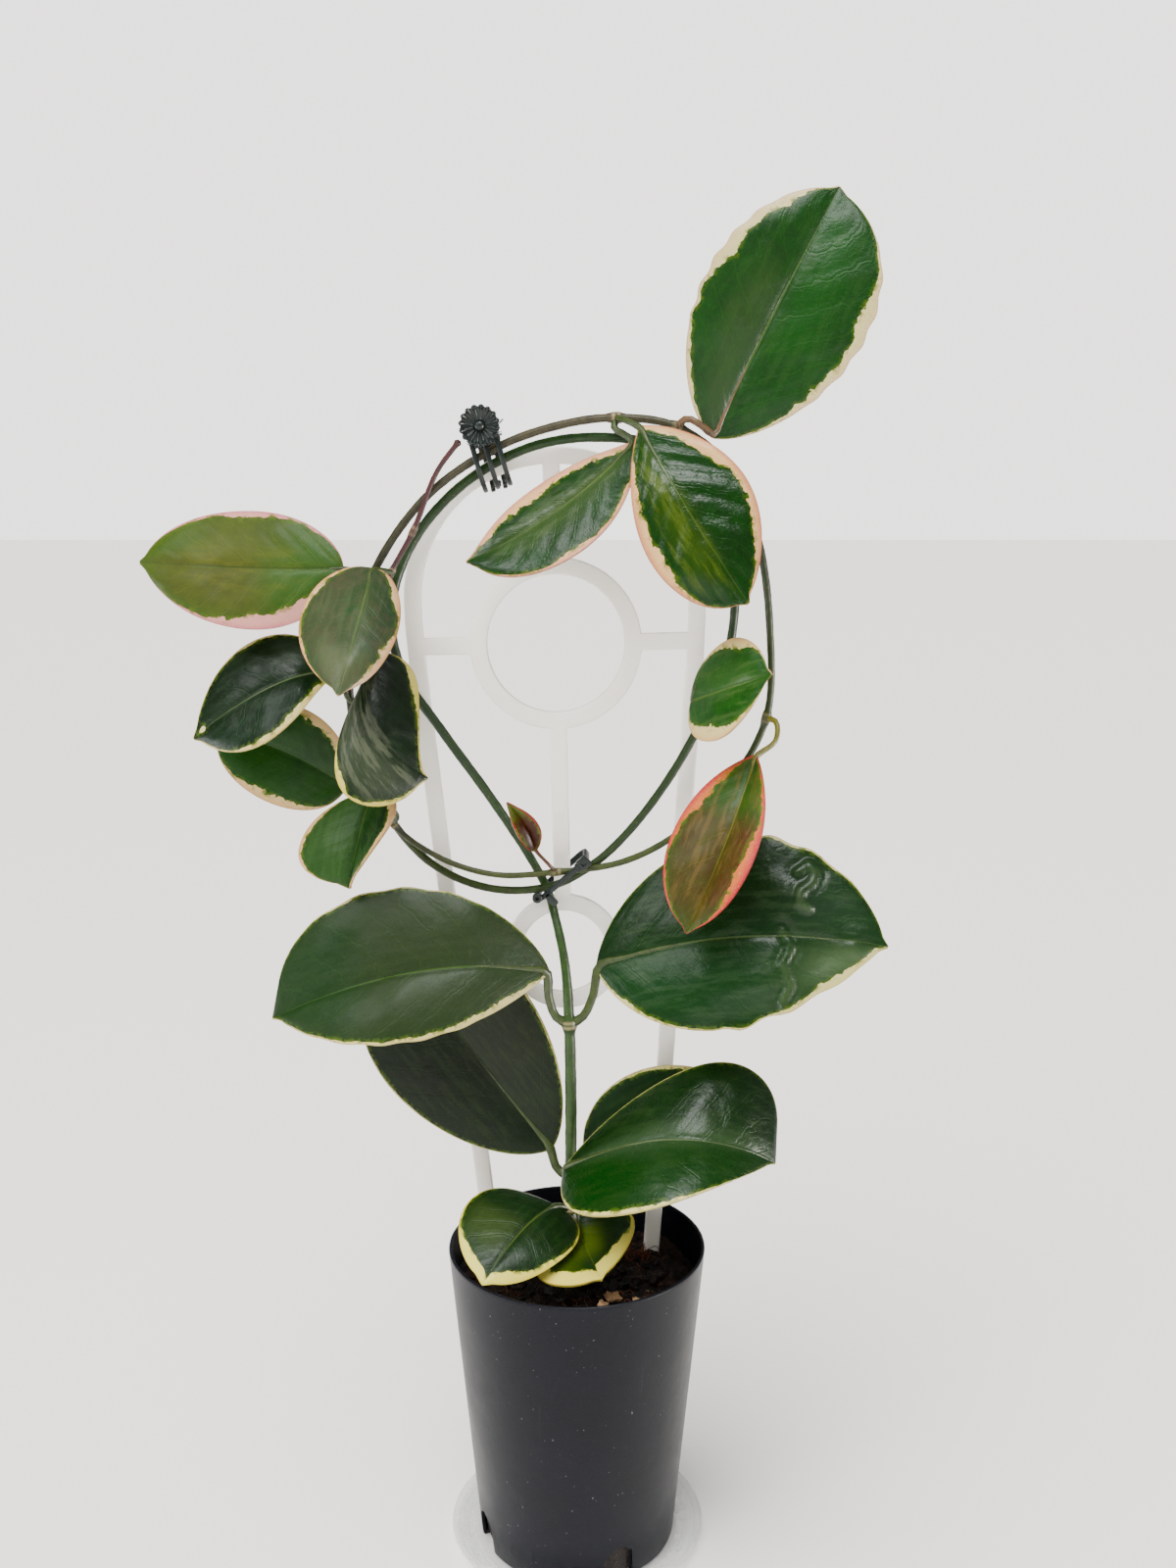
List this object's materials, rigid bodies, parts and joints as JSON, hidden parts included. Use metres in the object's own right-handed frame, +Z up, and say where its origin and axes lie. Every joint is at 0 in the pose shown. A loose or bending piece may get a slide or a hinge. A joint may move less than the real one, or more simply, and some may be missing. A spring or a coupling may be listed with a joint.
{
  "type": "potted climbing plant",
  "caption": "Variegated waxy-leaved hoya twining round the head of a small white trellis, in a tapered black nursery pot on a clear saucer.",
  "frame": {"origin": "middle of the saucer's underside, on the pot's axis", "axes": "+Z up along the pot's axis, -Y towards the viewer, +X to the viewer's right"},
  "size_m": [0.2433, 0.0906, 0.4644],
  "materials": {
    "saucer_plastic": "clear moulded, glossy",
    "pot_plastic": "moulded black polypropylene, satin",
    "bark_mix": "moist bark, coir and peat, rough",
    "trellis_plastic": "moulded white plastic, satin",
    "green_stem": "smooth green stem, satin",
    "leaf_green": "thick waxy leaf, dark green with cream margins, glossy",
    "leaf_lime": "young yellow-green leaf with pink margins, glossy",
    "leaf_flushed": "olive leaf with pink margins, satin",
    "leaf_bronze": "very young red-brown leaf, glossy",
    "clip_plastic": "moulded dark green plastic, satin",
    "spring_steel": "bright drawn wire"
  },
  "bodies": {
    "plant": {"saucer": "saucer_plastic", "pot": "pot_plastic", "soil": "bark_mix", "trellis": "trellis_plastic", "vine": "green_stem", "leaf_01_top_right": "leaf_green", "leaf_02_top_centre": "leaf_green", "leaf_03_top_left": "leaf_green", "leaf_04_far_left": "leaf_lime", "leaf_05_left_front": "leaf_green", "leaf_06_left_dark": "leaf_green", "leaf_07_left_under": "leaf_green", "leaf_08_left_hanging": "leaf_green", "leaf_09_left_low": "leaf_green", "leaf_10_right_small": "leaf_green", "leaf_11_right_pink": "leaf_flushed", "leaf_12_right_large": "leaf_green", "leaf_13_left_large": "leaf_green", "leaf_14_left_under": "leaf_green", "leaf_15_low_right": "leaf_green", "leaf_16_low_right_back": "leaf_green", "leaf_17_foot_left": "leaf_green", "leaf_18_foot_right": "leaf_green", "leaf_19_young": "leaf_bronze", "clip_rear_jaw": "clip_plastic", "clip_pin": "spring_steel", "clip_spring": "spring_steel", "tie_clip": "clip_plastic"},
    "front_jaw": {"clip_front_jaw": "clip_plastic"}
  },
  "joints": [
    {"name": "clip_hinge", "type": "hinge", "parent": "plant", "child": "front_jaw", "pos_m": [-0.0302, 0.014, 0.3872], "axis": [-0.9624, 0, -0.2715], "range_deg": [0, 30], "stiffness_Nm_per_rad": 0.02, "springref_deg": -34.38}
  ]
}
